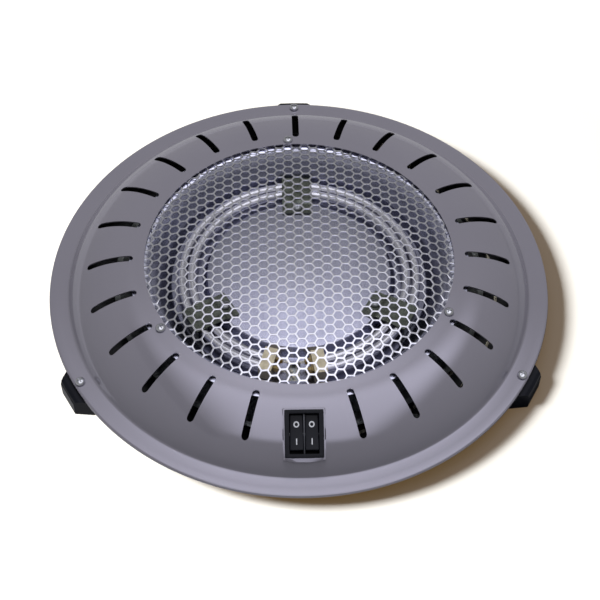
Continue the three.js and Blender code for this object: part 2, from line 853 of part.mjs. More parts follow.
function lead(name, points) {
  const path = new LeadPath(points, false, "centripetal");
  return meshOf(name, tubeAlong(path, leadRadius, 2 * (points.length - 1), 3), leadSleeve);
}

// The way up through the reflector to a pin's end.
function riseToPin(turn, ringRadius) {
  const side = turn * riserOffset;
  return [
    besideBearing(ringRadius, gapBearing, overShield + 0.6, side),
    besideBearing(ringRadius, gapBearing, troughFloor + 2, side),
    pinPoint(turn, ringRadius, 3.2),
    pinPoint(turn, ringRadius, gap),
  ];
}

// From a switch blade, inwards over the heat shield, then up between the end blocks.
function powerLead(side, x, ringRadius, passing) {
  return [
    padPoint(side * rockerMiddle, bladeRow, bladeEnd - gap),
    padPoint(side * rockerMiddle, bladeRow + 0.6, bladeEnd - 2.4),
    new THREE.Vector3(x, -(shieldRadius + 2), leadLow),
    new THREE.Vector3(x, -(shieldFlatRadius + 4), overShield - 0.4),
    new THREE.Vector3(x, -(shieldFlatRadius - 6), overShield),
    besideBearing(ringRadius + 8, gapBearing, overShield, passing),
    ...riseToPin(1, ringRadius),
  ];
}

function wayPoint(way, radius, lift = 0) {
  const side = (way - (supplyWays - 1) / 2) * wayPitch;
  return besideBearing(radius, supplyBearing, panSeat + wayHeight + lift, side);
}

// From the supply block clockwise round the heat shield's foot to the right-hand pins.
function neutralLead() {
  const blockFace = partsCircle - supplyBlockDepth / 2;
  return [
    wayPoint(0, blockFace + leadEntry),
    wayPoint(0, blockFace),
    wayPoint(0, blockFace - 2),
    pointAt(neutralCircle - 1, supplyBearing, leadLow + 1),
    ...arcPoints(neutralCircle, supplyBearing + 8, gapBearing - 24, leadLow, 13),
    pointAt(neutralCircle + 1, gapBearing - 16, leadLow),
    pointAt(shieldFlatRadius + 4, gapBearing - 11, overShield - 0.4),
    pointAt(shieldFlatRadius - 8, gapBearing - 8.5, overShield),
    besideBearing(tubeRadii.inner + 8, gapBearing, overShield, -2 * riserOffset),
    ...riseToPin(-1, tubeRadii.inner),
  ];
}

// From the supply block to the thermal cut-out's near tab.
function liveLead() {
  const blockFace = partsCircle - supplyBlockDepth / 2;
  const tabZ = panSeat + tabHeight;
  return [
    wayPoint(2, blockFace + leadEntry),
    wayPoint(2, blockFace),
    wayPoint(2, blockFace - 2),
    pointAt(shieldRadius + 1, supplyBearing + 8, panSeat + wayHeight + 1.5),
    pointAt(partsCircle - 3, supplyBearing + 15, tabZ + 2),
    ...arcPoints(partsCircle, supplyBearing + 24, cutoutBearing - 9, tabZ, 10),
    besideBearing(partsCircle, cutoutBearing, tabZ, -tabReach - 3),
    besideBearing(partsCircle, cutoutBearing, tabZ, -tabReach - gap),
  ];
}

// From the cut-out's far tab to the bar that feeds both halves of the switch.
function switchLead() {
  const tabZ = panSeat + tabHeight;
  const barEnd = commonBarLength / 2;
  const barZ = -bodyDepth - gap - bladeLength / 4;
  return [
    besideBearing(partsCircle, cutoutBearing, tabZ, tabReach + gap),
    besideBearing(partsCircle, cutoutBearing, tabZ, tabReach + 3),
    pointAt(partsCircle, cutoutBearing + 13, tabZ + 0.5),
    pointAt(partsCircle - 2, cutoutBearing + 20, tabZ + 3),
    padPoint(barEnd + 5, commonRow, barZ),
    padPoint(barEnd + gap, commonRow, barZ),
  ];
}

// ---------- assembly ----------
const heater = new THREE.Group();
heater.name = "floor_heater";
// The rear foot reaches past the rim, so the heater moves to the middle of its own box.
heater.position.y = -(footReach - rimRadius) / 2;

heater.add(meshOf("top_ring", makeTopRing(), ringPaint));
heater.add(meshOf("grille", makeGrille(), grilleSteel));
heater.add(meshOf("reflector", makeReflector(), brightAluminium));
heater.add(meshOf("heat_shield", makeHeatShield(), galvanised));
heater.add(meshOf("base_pan", makeBasePan(), blackSteel));

for (const [name, radius] of Object.entries(tubeRadii)) {
  heater.add(meshOf("element_" + name, makeElement(radius), elementSteel));
}

sideNames.forEach((name, i) => {
  const corner = new THREE.Group();
  corner.rotation.z = -radians(sideBearings[i]);
  corner.add(meshOf("foot_" + name, makeFoot(), blackPlastic));
  corner.add(meshOf("element_clamp_" + name, makeClamp(), galvanised));

  const rimScrew = meshOf("rim_screw_" + name, makeScrew(rimScrewDepth), chrome);
  rimScrew.position.set(0, rimScrewCircle, flangeTop + gap);
  corner.add(rimScrew);

  const clampTop = dishHeight(clampScrewRadius) + clampLift + clampSheet + gap;
  const clampScrew = meshOf("clamp_screw_" + name, makeScrew(clampTop - troughFloor), zincSteel);
  clampScrew.position.set(0, clampScrewRadius, clampTop);
  corner.add(clampScrew);
  heater.add(corner);

  const grilleBearing = sideBearings[i] + grilleScrewTurn;
  const grilleScrewDepth = crestHeight + gap - grilleNutTop + nutHeight + 1;
  const grilleScrew = meshOf("grille_screw_" + name, makeScrew(grilleScrewDepth), chrome);
  heater.add(placedAt(grilleScrew, grilleScrewCircle, grilleBearing, crestHeight + gap));
  const grilleNut = meshOf("grille_nut_" + name, makeNut(), zincSteel);
  heater.add(placedAt(grilleNut, grilleScrewCircle, grilleBearing, grilleNutTop - nutHeight));

  const under = sideBearings[i] + third / 2;
  const spacer = meshOf("shield_spacer_" + name, makeSpacer(), zincSteel);
  heater.add(placedAt(spacer, spacerCircle, under, 0));
  const shieldTop = shieldFloor + shieldSheet + gap;
  const shieldScrewDepth = shieldTop + nutHeight + 1 - panFloor;
  const shieldScrew = meshOf("shield_screw_" + name, makeScrew(shieldScrewDepth), zincSteel);
  placedAt(shieldScrew, spacerCircle, under, panFloor - gap);
  shieldScrew.rotation.x = Math.PI;
  heater.add(shieldScrew);
  const shieldNut = meshOf("shield_nut_" + name, makeNut(), zincSteel);
  heater.add(placedAt(shieldNut, spacerCircle, under, shieldTop));
});

for (const [name, turn] of [["left", 1], ["right", -1]]) {
  const bearing = gapBearing + turn * gapHalfAngle;
  const block = meshOf("end_block_" + name, makeEndBlock(), steatite);
  heater.add(placedAt(block, elementRadius, bearing, blockSeat));
  for (const [ring, shift] of [["outer", tubePitch / 2], ["inner", -tubePitch / 2]]) {
    const pin = meshOf(`terminal_pin_${name}_${ring}`, makePin(), brass);
    const holder = new THREE.Group();
    placedAt(holder, elementRadius, bearing, elementHeight);
    pin.position.set(turn * (blockLength / 2 - tubeEntry - gap), shift, 0);
    pin.rotation.z = turn > 0 ? Math.PI : 0;
    holder.add(pin);
    heater.add(holder);
  }
}

const link = meshOf("neutral_link", makeLink(), brass);
const linkBearing = gapBearing - gapHalfAngle;
link.position.copy(besideBearing(elementRadius, linkBearing, elementHeight, blockLength / 2 + gap));
link.rotation.z = -radians(linkBearing);
heater.add(link);

heater.add(switchGroup());

const supplyBlock = meshOf("supply_block", makeSupplyBlock(), steatite);
heater.add(placedAt(supplyBlock, partsCircle, supplyBearing, panSeat));
const cutout = meshOf("thermal_cutout", makeCutout(), galvanised);
heater.add(placedAt(cutout, partsCircle, cutoutBearing, panSeat));
heater.add(meshOf("cord_bush", solidOf(bushShape(bushRadius, bushBore)), bushRubber));

heater.add(lead("lead_power_outer", powerLead(-1, -10, tubeRadii.outer, riserOffset)));
heater.add(lead("lead_power_inner", powerLead(1, -5.6, tubeRadii.inner, -1)));
heater.add(lead("lead_neutral", neutralLead()));
heater.add(lead("lead_live", liveLead()));
heater.add(lead("lead_switch", switchLead()));

export default heater;
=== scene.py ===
import math

import bmesh
import bpy
from mathutils import Matrix, Vector


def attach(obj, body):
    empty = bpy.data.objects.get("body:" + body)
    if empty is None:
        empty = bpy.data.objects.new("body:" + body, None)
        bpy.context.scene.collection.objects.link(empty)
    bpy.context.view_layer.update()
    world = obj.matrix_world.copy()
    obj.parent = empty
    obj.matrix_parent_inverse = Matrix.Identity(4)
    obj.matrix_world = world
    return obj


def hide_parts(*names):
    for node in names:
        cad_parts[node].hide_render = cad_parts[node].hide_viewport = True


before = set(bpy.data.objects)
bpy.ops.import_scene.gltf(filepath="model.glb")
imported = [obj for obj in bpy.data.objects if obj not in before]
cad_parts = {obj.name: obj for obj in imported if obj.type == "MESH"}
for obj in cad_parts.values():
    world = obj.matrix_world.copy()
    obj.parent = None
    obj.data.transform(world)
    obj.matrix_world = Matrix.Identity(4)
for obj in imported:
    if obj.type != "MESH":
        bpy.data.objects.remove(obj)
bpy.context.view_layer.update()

# Sizes are in millimetres until a mesh is made. Bearings run clockwise from the back.
millimetre = 0.001
axisY = -3.2  # where the heater's axis stands along Y
gap = 0.3  # air between pieces that touch
around = 240  # corners of a turned sheet
onAxis = 1e-6  # a smaller radius than this lies on the axis
sides = {"rear": 0, "right": 120, "left": 240}  # bearings of the feet


# The place at a bearing, so far out from the heater's axis and so far above the floor.
def turned(bearing, out=0.0, up=0.0):
    spin = Matrix.Rotation(-math.radians(bearing), 4, "Z")
    return Matrix.Translation((0, axisY, 0)) @ spin @ Matrix.Translation((0, out, up))


# The linear colour that a shader takes, from a colour's sRGB hex value.
def linear(hexValue):
    channels = [int(hexValue[i:i + 2], 16) / 255 for i in (0, 2, 4)]
    return tuple(c / 12.92 if c <= 0.04045 else ((c + 0.055) / 1.055) ** 2.4 for c in channels) + (1.0,)


# A node with its settings. Inputs go in by their place or their name, as a value or from another node.
def addNode(tree, kind, settings=None, inputs=(), **named):
    node = tree.nodes.new("ShaderNode" + kind)
    for key, value in (settings or {}).items():
        setattr(node, key, value)
    places = dict(enumerate(inputs))
    places.update((name.replace("_", " "), value) for name, value in named.items())
    for place, value in places.items():
        if isinstance(value, bpy.types.NodeSocket):
            tree.links.new(value, node.inputs[place])
        else:
            node.inputs[place].default_value = value
    return node


# Painted shade: darkens a colour by its distance from the heater's axis, along a ramp of given colours.
def heatTinted(tree, place, colour, shadeStops):
    scale = (1 / millimetre, 1 / millimetre, 0)
    flat = addNode(tree, "VectorMath", {"operation": "MULTIPLY_ADD"}, (place, scale, (0, -axisY, 0)))
    radius = addNode(tree, "VectorMath", {"operation": "LENGTH"}, (flat.outputs["Vector"],))
    furthest = shadeStops[-1][0]
    share = addNode(tree, "MapRange", Value=radius.outputs["Value"], From_Max=furthest)
    ramp = addNode(tree, "ValToRGB", Fac=share.outputs["Result"])
    stops = ramp.color_ramp.elements
    stops[0].color, stops[1].color = linear(shadeStops[0][1]), linear(shadeStops[-1][1])
    for at, tint in shadeStops[1:-1]:
        stops.new(at / furthest).color = linear(tint)
    product = {"data_type": "RGBA", "blend_type": "MULTIPLY"}
    return addNode(tree, "Mix", product, Factor=1, A=colour, B=ramp.outputs["Color"]).outputs["Result"]


# A surface with cloudy colour, uneven gloss and a fine relief, all at sizes given in millimetres.
def makeMaterial(name, look):
    material = bpy.data.materials.new(name)
    material.use_nodes = True
    tree = material.node_tree
    place = addNode(tree, "TexCoord").outputs["Object"]
    mapped = addNode(tree, "Mapping", Vector=place, Scale=look.get("stretch", (1, 1, 1))).outputs["Vector"]
    cloud = addNode(tree, "TexNoise", Vector=place, Scale=1 / (look["cloudSize"] * millimetre), Detail=3.0)
    grain = addNode(tree, "TexNoise", Vector=mapped, Scale=1 / (look["grainSize"] * millimetre), Detail=2.0)
    tint = addNode(tree, "Mix", {"data_type": "RGBA"}, Factor=cloud.outputs["Fac"],
                   A=linear(look["colour"]), B=linear(look["shade"]))
    colour = tint.outputs["Result"]
    # Painted shade on the reflector: darker over the dish's edge, the trough and the flared wall.
    if "heat" in look:
        colour = heatTinted(tree, place, colour, look["heat"])
    low, high = look["roughness"]
    lowest, highest = 0.3, 0.7  # most of the noise lies between these
    gloss = addNode(tree, "MapRange", Value=grain.outputs["Fac"],
                    From_Min=lowest, From_Max=highest, To_Min=low, To_Max=high)
    relief = addNode(tree, "Bump", Height=grain.outputs["Fac"], Strength=look.get("reliefStrength", 0.3),
                     Distance=look["relief"] * millimetre)
    shader = tree.nodes["Principled BSDF"]
    tree.links.new(colour, shader.inputs["Base Color"])
    tree.links.new(gloss.outputs["Result"], shader.inputs["Roughness"])
    tree.links.new(relief.outputs["Normal"], shader.inputs["Normal"])
    plain = {"metallic": "Metallic", "ior": "IOR", "specular": "Specular IOR Level",
             "coat": "Coat Weight", "coatRoughness": "Coat Roughness"}
    for key, socket in plain.items():
        if key in look:
            shader.inputs[socket].default_value = look[key]
    return material


# The real grain of plating, rolling and moulding is under 0.1 mm, too fine to show, so it is drawn at
# 0.3 to 0.6 mm. Painted shade is given as distances from the heater's axis, with the colour at each.
materials = {
    # A smooth grey skin that mirrors the lamp crisply, with a faint cloudiness in its tone.
    "ringLacquer": makeMaterial("steel, silver-grey gloss lacquer", {
        "colour": "85838e", "shade": "7f7d88", "metallic": 0.5, "roughness": (0.08, 0.11), "cloudSize": 60,
        "grainSize": 0.8, "relief": 0.004, "reliefStrength": 0.15, "coat": 0.2, "coatRoughness": 0.05}),
    # Soft-edged glints on every web, white where they mirror the lamp.
    "grilleNickel": makeMaterial("steel, bright nickel plated", {
        "colour": "dcdce2", "shade": "cfcfd8", "metallic": 1.0, "roughness": (0.2, 0.3), "cloudSize": 30,
        "grainSize": 0.5, "relief": 0.01}),
    # A rolled sheen that runs one way; painted shade darkens the dish's edge, trough and wall, leaving the
    # rim bright as a painted highlight.
    "brightAluminium": makeMaterial("aluminium, bright rolled", {
        "colour": "dcdded", "shade": "cfd0e0", "metallic": 1.0, "roughness": (0.2, 0.28), "cloudSize": 25,
        "grainSize": 0.6, "relief": 0.01, "stretch": (1, 12, 1),
        "heat": [(0, "ffffff"), (40, "f6f6fa"), (66, "d8d8dc"), (89, "b8b8be"), (94, "acadb5"),
                 (102, "acadb5"), (105, "ffffff"), (125, "ffffff")]}),
    # Long soft highlights along the tubes.
    "stainless": makeMaterial("stainless steel, bright annealed", {
        "colour": "e6e6ec", "shade": "d8d7de", "metallic": 1.0, "roughness": (0.24, 0.36), "cloudSize": 12,
        "grainSize": 0.4, "relief": 0.01}),
    # Small uneven patches of light and dull grey.
    "galvanised": makeMaterial("steel, galvanised", {
        "colour": "c8cccc", "shade": "a6abac", "metallic": 0.9, "roughness": (0.25, 0.42), "cloudSize": 4,
        "grainSize": 1.2, "relief": 0.02}),
    # Dark metal in random blotches from pale grey to near black, partly painted reflection, that glints in
    # places.
    "blotchySteel": makeMaterial("steel, darkened by heat", {
        "colour": "7c8278", "shade": "0c0e0c", "metallic": 0.8, "roughness": (0.22, 0.45), "cloudSize": 5,
        "grainSize": 1.2, "relief": 0.03}),
    # Deep black with a broad dull shine and a slight orange peel.
    "blackEnamel": makeMaterial("steel, black stove enamel", {
        "colour": "2b2c2e", "shade": "232426", "roughness": (0.35, 0.5), "cloudSize": 40,
        "grainSize": 0.7, "relief": 0.02, "ior": 1.5}),
    # Chalky cream with small dark patches and no shine.
    "steatite": makeMaterial("steatite, unglazed", {
        "colour": "cfc7b0", "shade": "968c74", "roughness": (0.5, 0.7), "cloudSize": 3,
        "grainSize": 0.25, "relief": 0.03, "ior": 1.6}),
    # Warm yellow metal, duller where it has been handled.
    "brass": makeMaterial("brass, turned", {
        "colour": "ab9668", "shade": "83714a", "metallic": 1.0, "roughness": (0.22, 0.4), "cloudSize": 3,
        "grainSize": 0.3, "relief": 0.01}),
    # Near black, with a narrow soft shine broken up by its moulded grain.
    "blackPlastic": makeMaterial("polyamide, black gloss moulded", {
        "colour": "0a0b11", "shade": "101218", "roughness": (0.26, 0.38), "cloudSize": 8,
        "grainSize": 0.35, "relief": 0.012, "ior": 1.53, "specular": 0.12}),
    # A shade lighter and flatter than the black, so the divider shows as a line.
    "greyPlastic": makeMaterial("polyamide, grey moulded", {
        "colour": "3a3c44", "shade": "303239", "roughness": (0.35, 0.5), "cloudSize": 6,
        "grainSize": 0.3, "relief": 0.01, "ior": 1.53}),
    # Sharp bright glints on small round heads.
    "chrome": makeMaterial("steel, chrome plated", {
        "colour": "cfd0d4", "shade": "bcbdc3", "metallic": 1.0, "roughness": (0.1, 0.2), "cloudSize": 5,
        "grainSize": 0.4, "relief": 0.004}),
    # Paler and duller than chrome, in small patches.
    "zinc": makeMaterial("steel, bright zinc plated", {
        "colour": "b3b5b6", "shade": "9a9da0", "metallic": 1.0, "roughness": (0.3, 0.45), "cloudSize": 3,
        "grainSize": 0.4, "relief": 0.01}),
    # Flat black that takes almost no highlight.
    "rubber": makeMaterial("rubber, black moulded", {
        "colour": "1c1c1d", "shade": "232324", "roughness": (0.6, 0.8), "cloudSize": 6,
        "grainSize": 0.3, "relief": 0.03, "ior": 1.52}),
    # Off-white and fuzzy, with a visible weave.
    "glassSleeve": makeMaterial("glass-fibre sleeve, woven", {
        "colour": "d8d3c4", "shade": "bdb7a6", "roughness": (0.7, 0.85), "cloudSize": 2,
        "grainSize": 0.5, "relief": 0.12, "stretch": (2, 2, 1), "ior": 1.5}),
    # A pale flat print that stands out from the black rocker.
    "whiteInk": makeMaterial("ink, pale grey printed", {
        "colour": "b9bcc2", "shade": "a6a9b0", "roughness": (0.45, 0.6), "cloudSize": 1.5,
        "grainSize": 0.2, "relief": 0.004, "ior": 1.5}),
}
print("materials", len(materials))


def objectOf(name, data):
    thing = bpy.data.objects.new(name, data)
    bpy.context.scene.collection.objects.link(thing)
    return thing


# Moves a shape made in millimetres to its place, and turns it to metres.
def fromBmesh(name, grid, place):
    mesh = bpy.data.meshes.new(name)
    grid.to_mesh(mesh)
    grid.free()
    mesh.transform(place)
    mesh.transform(Matrix.Scale(millimetre, 4))
    return objectOf(name, mesh)


# Faces between two closed loops of corners; a loop of one corner is a pole.
def addBand(grid, first, second):
    count = max(len(first), len(second))
    if count == 1:
        return
    for i in range(count):
        j = (i + 1) % count
        near = [first[k % len(first)] for k in (i, j)]
        far = [second[k % len(second)] for k in (j, i)]
        grid.faces.new(list(dict.fromkeys(near + far)))


# A solid with its skin through a row of loops: capped at both ends, or closed from the last to the first.
def skinned(name, loops, place, capped=True):
    grid = bmesh.new()
    rows = [[grid.verts.new(corner) for corner in loop] for loop in loops]
    if capped:
        grid.faces.new(rows[0])
        grid.faces.new(rows[-1])
    following = rows[1:] if capped else rows[1:] + rows[:1]
    for first, second in zip(rows, following):
        addBand(grid, first, second)
    bmesh.ops.recalc_face_normals(grid, faces=grid.faces)
    return fromBmesh(name, grid, place)


# A closed outline of (radius, height) points turned about the axis of its place.
def lathe(name, outline, count, place):
    loops = []
    for radius, height in outline:
        angles = [2 * math.pi * i / count for i in range(count)] if radius > onAxis else [0]
        loops.append([(radius * math.sin(a), radius * math.cos(a), height) for a in angles])
    return skinned(name, loops, place, capped=False)


# A prism of an outline of (x, y) points between two heights.
def prism(name, outline, low, high, place):
    return skinned(name, [[(x, y, z) for x, y in outline] for z in (low, high)], place)


# The point at a share of a smooth bend from start to end, drawn towards the corner between them.
def curved(start, corner, end, share):
    return start * (1 - share) ** 2 + corner * 2 * share * (1 - share) + end * share ** 2


# Rounds the corners of an open line of points; a point may carry a radius of its own.
def rounded(points, usual):
    steps = 5
    most = 0.48  # share of a stretch that a bend may take at each end
    line = [Vector(p[:2]) for p in points]
    out = [line[0]]
    for before, corner, after, point in zip(line, line[1:], line[2:], points[1:]):
        radius = point[2] if len(point) > 2 else usual
        back = before - corner
        ahead = after - corner
        half = back.angle(ahead) / 2
        reach = min(radius / math.tan(half), back.length * most, ahead.length * most)
        start = corner + back.normalized() * reach
        end = corner + ahead.normalized() * reach
        out += [curved(start, corner, end, i / steps) for i in range(steps + 1)]
    return out + [line[-1]]


# The two sides of a sheet that follows a line, as one closed outline.
def sheetOutline(line, thickness):
    under = []
    for i, point in enumerate(line):
        along = line[min(i + 1, len(line) - 1)] - line[max(i - 1, 0)]
        normal = Vector((along.y, -along.x)).normalized()
        lower = point + normal * thickness
        under.append(Vector((max(lower.x, 0.0) if point.x > onAxis else 0.0, lower.y)))
    return line + under[::-1]


def rectangle(width, length, corner=0.0):
    x, y = width / 2 - corner, length / 2 - corner
    if corner == 0:
        return [(-x, -y), (x, -y), (x, y), (-x, y)]
    steps = 4
    out = []
    for quarter, (sx, sy) in enumerate([(1, 1), (-1, 1), (-1, -1), (1, -1)]):
        for i in range(steps + 1):
            a = math.radians(90 * quarter + 90 * i / steps)
            out.append((sx * x + corner * math.cos(a), sy * y + corner * math.sin(a)))
    return out


# A slot along Y between two distances from the axis, with round ends.
def slotOutline(inner, outer, width):
    steps = 8
    r = width / 2
    ends = [(outer - r, 0), (inner + r, math.pi)]
    return [(r * math.cos(start + math.pi * i / steps), middle + r * math.sin(start + math.pi * i / steps))
            for middle, start in ends for i in range(steps + 1)]


def circle(radius):
    steps = 24
    angles = [2 * math.pi * i / steps for i in range(steps)]
    return [(radius * math.cos(a), radius * math.sin(a)) for a in angles]


def joined(name, things):
    grid = bmesh.new()
    for thing in things:
        grid.from_mesh(thing.data)
        bpy.data.objects.remove(thing)
    mesh = bpy.data.meshes.new(name)
    grid.to_mesh(mesh)
    grid.free()
    return objectOf(name, mesh)


# Cuts the tools away, or adds them; they are used up.
def combine(thing, tools, operation="DIFFERENCE"):
    tool = joined("tool", tools)
    step = thing.modifiers.new("step", "BOOLEAN")
    step.operation = operation
    step.solver = "MANIFOLD"
    step.object = tool
    settled(thing)
    bpy.data.objects.remove(tool)


# Applies the modifiers to the mesh.
def settled(thing):
    bpy.context.view_layer.update()
    evaluated = thing.evaluated_get(bpy.context.evaluated_depsgraph_get())
    mesh = bpy.data.meshes.new_from_object(evaluated)
    thing.modifiers.clear()
    thing.data = mesh
    return thing


def bevelled(thing, width, segments=2):
    step = thing.modifiers.new("edge", "BEVEL")
    step.width = width * millimetre
    step.segments = segments
    step.limit_method = "ANGLE"
    step.angle_limit = math.radians(32)  # leaves the flats of a round piece alone
    return thing


# Shades smoothly, apart from edges sharper than an angle.
def smooth(thing, angle=34):
    for face in thing.data.polygons:
        face.use_smooth = True
    thing.data.set_sharp_from_angle(angle=math.radians(angle))


# Rounds the edges of a moulded piece.
def softened(thing, width, segments):
    smooth(settled(bevelled(thing, width, segments)), 30)


# Gives a piece its material and its body, and hides the imported nodes that it stands for.
def finished(thing, material, body="heater", replacing=()):
    thing.data.materials.clear()
    thing.data.materials.append(materials[material])
    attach(thing, body)
    if replacing:
        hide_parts(*replacing)


# Screws in threes hold the sheets together: the radius of each circle, and its turn from the feet.
screwCircles = {"rim": (175.5, 0), "grille": (114.5, -3), "clamp": (61, 0), "shield": (102, 60)}
screwHole = 2.25
throughAll = (2, 60)  # a cutter between these heights passes through every sheet


def screwHoles(kind):
    radius, turn = screwCircles[kind]
    places = [turned(bearing + turn, radius) for bearing in sides.values()]
    return [prism("hole", circle(screwHole), *throughAll, place) for place in places]


# The lacquered top ring: a pressed dome with slots, a sunk pad for the switch and a hemmed rim.

ring = {
    "rim": 180, "flange": 18, "dish": 0.9, "fold": 166.4, "crest": 117.7, "rise": 26.1, "mouth": 110.2,
    "sheet": 1.0, "slots": 24, "switchPlace": 12, "slotInner": 118, "slotOuter": 151.5, "slotWidth": 5.0,
    "lipSlope": 0.052,  # the pressed lip runs on upwards to the mouth
    "flangeLift": 0.88,  # the flange lies almost flat
    "bendIn": 0.7, "bendOut": 1.2,  # reach of the bend on both sides of the fold
    # The rolled rim and the hem under it, inwards from the rim and down from the flange's top.
    "roll": [(6, 0.02), (1.6, 0.02), (0.7, 0.12), (0.2, 0.5), (0, 1.1)],
    "hem": [(0, 2.2), (0.3, 2.4), (0.8, 2.4), (1, 2.2), (1, 1.3), (1.5, 1.1)],
    "underFold": [(2.6, 0.95), (-0.4, 1)]}  # outwards from the fold and down from its top

# The pad is measured in its own frame, which lies a little below the dome's skin and slopes with it.
pad = {
    "radius": 144.5, "sink": 1.2, "width": 28.4, "length": 34.4, "corner": 1.2, "lip": 1.9, "lipInset": 0.2,
    "edge": [(0.7, 0), (0.25, 0.12), (0, 0.45), (0, 7)],  # inwards and down
    "clear": 0.05, "reach": 12,  # of its cutters, to the sides and up and down
    "opening": (22.8, 29), "openingCorner": 1}

foldHeight = ring["flange"] - ring["dish"]
crestHeight = ring["flange"] + ring["rise"]
crestDrop = crestHeight - foldHeight
domeRadius = ((ring["fold"] - ring["crest"]) ** 2 + crestDrop ** 2) / (2 * crestDrop)


def domeHeight(radius, inset=0.0):
    return crestHeight - domeRadius + math.sqrt((domeRadius - inset) ** 2 - (radius - ring["crest"]) ** 2)


# What the pressed lip and the flange add to the dome's arc.
def skinLift(radius):
    if radius < ring["crest"]:
        return crestHeight + (ring["crest"] - radius) * ring["lipSlope"] - domeHeight(radius)
    return ring["flangeLift"] * min((radius - ring["crest"]) / (ring["fold"] - ring["crest"]), 1) ** 2


# The dome's skin from the mouth to the fold, or a line that lies so far under it.
def domeLine(inset=0.0):
    start = math.asin((ring["mouth"] - ring["crest"]) / domeRadius)
    stop = math.asin((ring["fold"] - ring["bendIn"] - ring["crest"]) / domeRadius)
    steps = 30
    line = []
    for i in range(steps + 1):
        radius = ring["crest"] + (domeRadius - inset) * math.sin(start + (stop - start) * i / steps)
        line.append(Vector((radius, domeHeight(radius, inset) + skinLift(radius))))
    return line


padAngle = math.asin((pad["radius"] - ring["crest"]) / domeRadius)
padFrame = Matrix.Translation((
    0,
    axisY - pad["radius"] + pad["sink"] * math.sin(padAngle),
    domeHeight(pad["radius"]) - pad["sink"] * math.cos(padAngle),
)) @ Matrix.Rotation(padAngle, 4, "X")


# Outline of the switch's pad: a rectangle whose lower end bows out as a lip.
def padOutline(inset):
    half, end, r = pad["width"] / 2 - inset, pad["length"] / 2 - inset, pad["corner"]
    steps = 12
    lip = []
    for i in range(steps + 1):
        share = 2 * i / steps - 1
        lip.append((share * (half - pad["lipInset"]), -end - pad["lip"] * (1 - share ** 2)))
    angles = [math.radians(15 * i) for i in range(7)]
    corner = [(half - r + r * math.cos(a), end - r + r * math.sin(a)) for a in angles]
    return lip + corner + [(-x, y) for x, y in reversed(corner)]


# A block whose top lies at a height of the pad's frame, with a rounded upper edge.
def padBlock(inset, top):
    levels = [[(x, y, top - down) for x, y in padOutline(inset + inwards)] for inwards, down in pad["edge"]]
    return skinned("pad", levels, padFrame)


def makeRing():
    foldTop = foldHeight + ring["flangeLift"]
    dome = domeLine()
    fold = Vector((ring["fold"], foldTop))
    away = Vector((ring["fold"] + ring["bendOut"], foldTop))
    bend = [curved(dome[-1], fold, away, share) for share in (0.25, 0.5, 0.75, 1)]
    rim = [(ring["rim"] - inwards, ring["flange"] - down) for inwards, down in ring["roll"] + ring["hem"]]
    under = [(ring["fold"] + out, foldTop - down) for out, down in ring["underFold"]]
    inside = domeLine(ring["sheet"])[::-1]
    shell = lathe("top_ring_pressed", dome + bend + rim + under + inside, around, turned(0))
    combine(shell, [padBlock(0, 0)], "UNION")
    combine(shell, [prism("above", padOutline(-pad["clear"]), 0, pad["reach"], padFrame)])
    combine(shell, [padBlock(ring["sheet"], -ring["sheet"])])
    opening = rectangle(*pad["opening"], pad["openingCorner"])
    tools = [prism("opening", opening, -pad["reach"], pad["reach"], padFrame)]
    slot = slotOutline(ring["slotInner"], ring["slotOuter"], ring["slotWidth"])
    for place in range(ring["slots"]):
        if place != ring["switchPlace"]:
            tools.append(prism("slot", slot, *throughAll, turned(360 * place / ring["slots"])))
    combine(shell, tools + screwHoles("rim") + screwHoles("grille"))
    smooth(shell)
    finished(shell, "ringLacquer", replacing=["top_ring"])


makeRing()
print("top ring")


# The perforated grille, domed, with its foot tucked under the mouth of the ring.

grille = {
    "pitch": 7.36, "web": 1.1, "sheet": 0.7,
    "corner": 0.1,  # share of a hexagon's side that each clipped corner takes
    "webMiddle": -0.03, "webEdge": -0.13,  # a web is slightly crowned
    "crown": 900, "shoulderStart": 83, "shoulder": 66, "foot": 109.4,
    "bend": 107, "bendRise": 0.5, "tuck": 113.5,
    "meshOuter": 119,
    "room": 0.8}  # height that it takes between the ring and the reflector
grilleTop = domeHeight(ring["mouth"], ring["sheet"]) - gap
crownAngle = math.asin(grille["shoulderStart"] / grille["crown"])
shoulderMiddle = grille["shoulderStart"] - grille["shoulder"] * math.sin(crownAngle)


def shoulderHeight(radius):
    return math.sqrt(grille["shoulder"] ** 2 - (radius - shoulderMiddle) ** 2)


# From the outside in: a flat flange, a bend at its foot, a round shoulder and a nearly flat crown.
def grilleHeight(radius):
    foot = shoulderHeight(grille["foot"])
    if radius >= grille["tuck"]:
        return grilleTop
    if radius >= grille["bend"]:
        share = (radius - grille["bend"]) / (grille["tuck"] - grille["bend"])
        rise = shoulderHeight(grille["bend"]) - foot + grille["bendRise"] * share
        return grilleTop + rise * (1 - share ** 3)
    if radius >= grille["shoulderStart"]:
        return grilleTop + shoulderHeight(radius) - foot
    crown = math.sqrt(grille["crown"] ** 2 - radius ** 2) - grille["crown"] * math.cos(crownAngle)
    return grilleTop + crown + shoulderHeight(grille["shoulderStart"]) - foot


